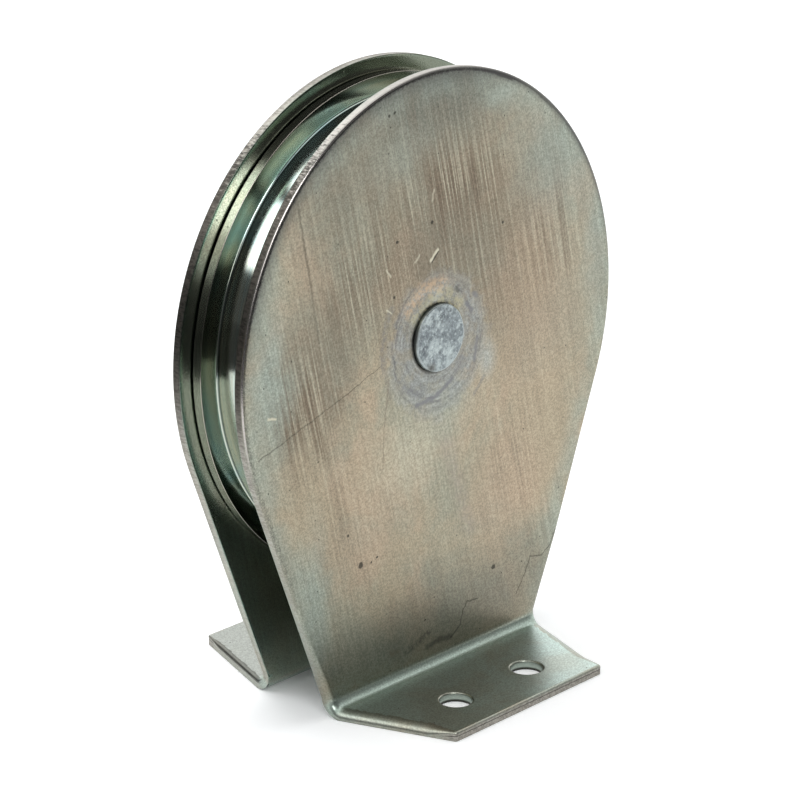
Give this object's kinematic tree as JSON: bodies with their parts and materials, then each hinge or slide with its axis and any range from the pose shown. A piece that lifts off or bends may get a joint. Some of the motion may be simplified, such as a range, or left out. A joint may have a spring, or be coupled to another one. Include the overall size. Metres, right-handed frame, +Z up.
{
  "type": "belt guide pulley",
  "caption": "Guide pulley for a flat belt: a grooved sheave on a ball bearing between folded, zinc-plated side plates with feet for bolting down.",
  "frame": {"origin": "on the ground under the middle of the axle, midway between the plates", "axes": "+Z up, Y along the axle with the front plate on the -Y side, X across the plates"},
  "size_m": [0.16, 0.104, 0.187],
  "materials": {
    "plate_zinc": "zinc plated with a clear iridescent passivation, streaked and marked",
    "sheave_zinc": "turned and bright zinc plated",
    "pin_steel": "hammered by the staking tool",
    "spacer_steel": "zinc plated",
    "bearing_steel": "ground",
    "shield_steel": "pressed sheet",
    "spring_steel": "black oxide",
    "cage_polymer": "moulded"
  },
  "bodies": {
    "bracket": {"front_plate": "plate_zinc", "rear_plate": "plate_zinc", "axle_pin": "pin_steel", "front_spacer": "spacer_steel", "rear_spacer": "spacer_steel", "bearing_inner_ring": "bearing_steel"},
    "wheel": {"sheave": "sheave_zinc", "bearing_outer_ring": "bearing_steel", "front_shield": "shield_steel", "rear_shield": "shield_steel", "retaining_ring": "spring_steel"},
    "ball_set": {"bearing_balls": "bearing_steel", "bearing_cage": "cage_polymer"}
  },
  "joints": [
    {"name": "sheave_spin", "type": "hinge", "parent": "bracket", "child": "wheel", "pos_m": [0, 0, 0.107], "axis": [0, 1, 0], "continuous": true},
    {"name": "cage_spin", "type": "hinge", "parent": "bracket", "child": "ball_set", "pos_m": [0, 0, 0.107], "axis": [0, 1, 0], "continuous": true}
  ],
  "couplings": [
    {"joint": "cage_spin", "follows": "sheave_spin", "ratio": 0.6179}
  ]
}
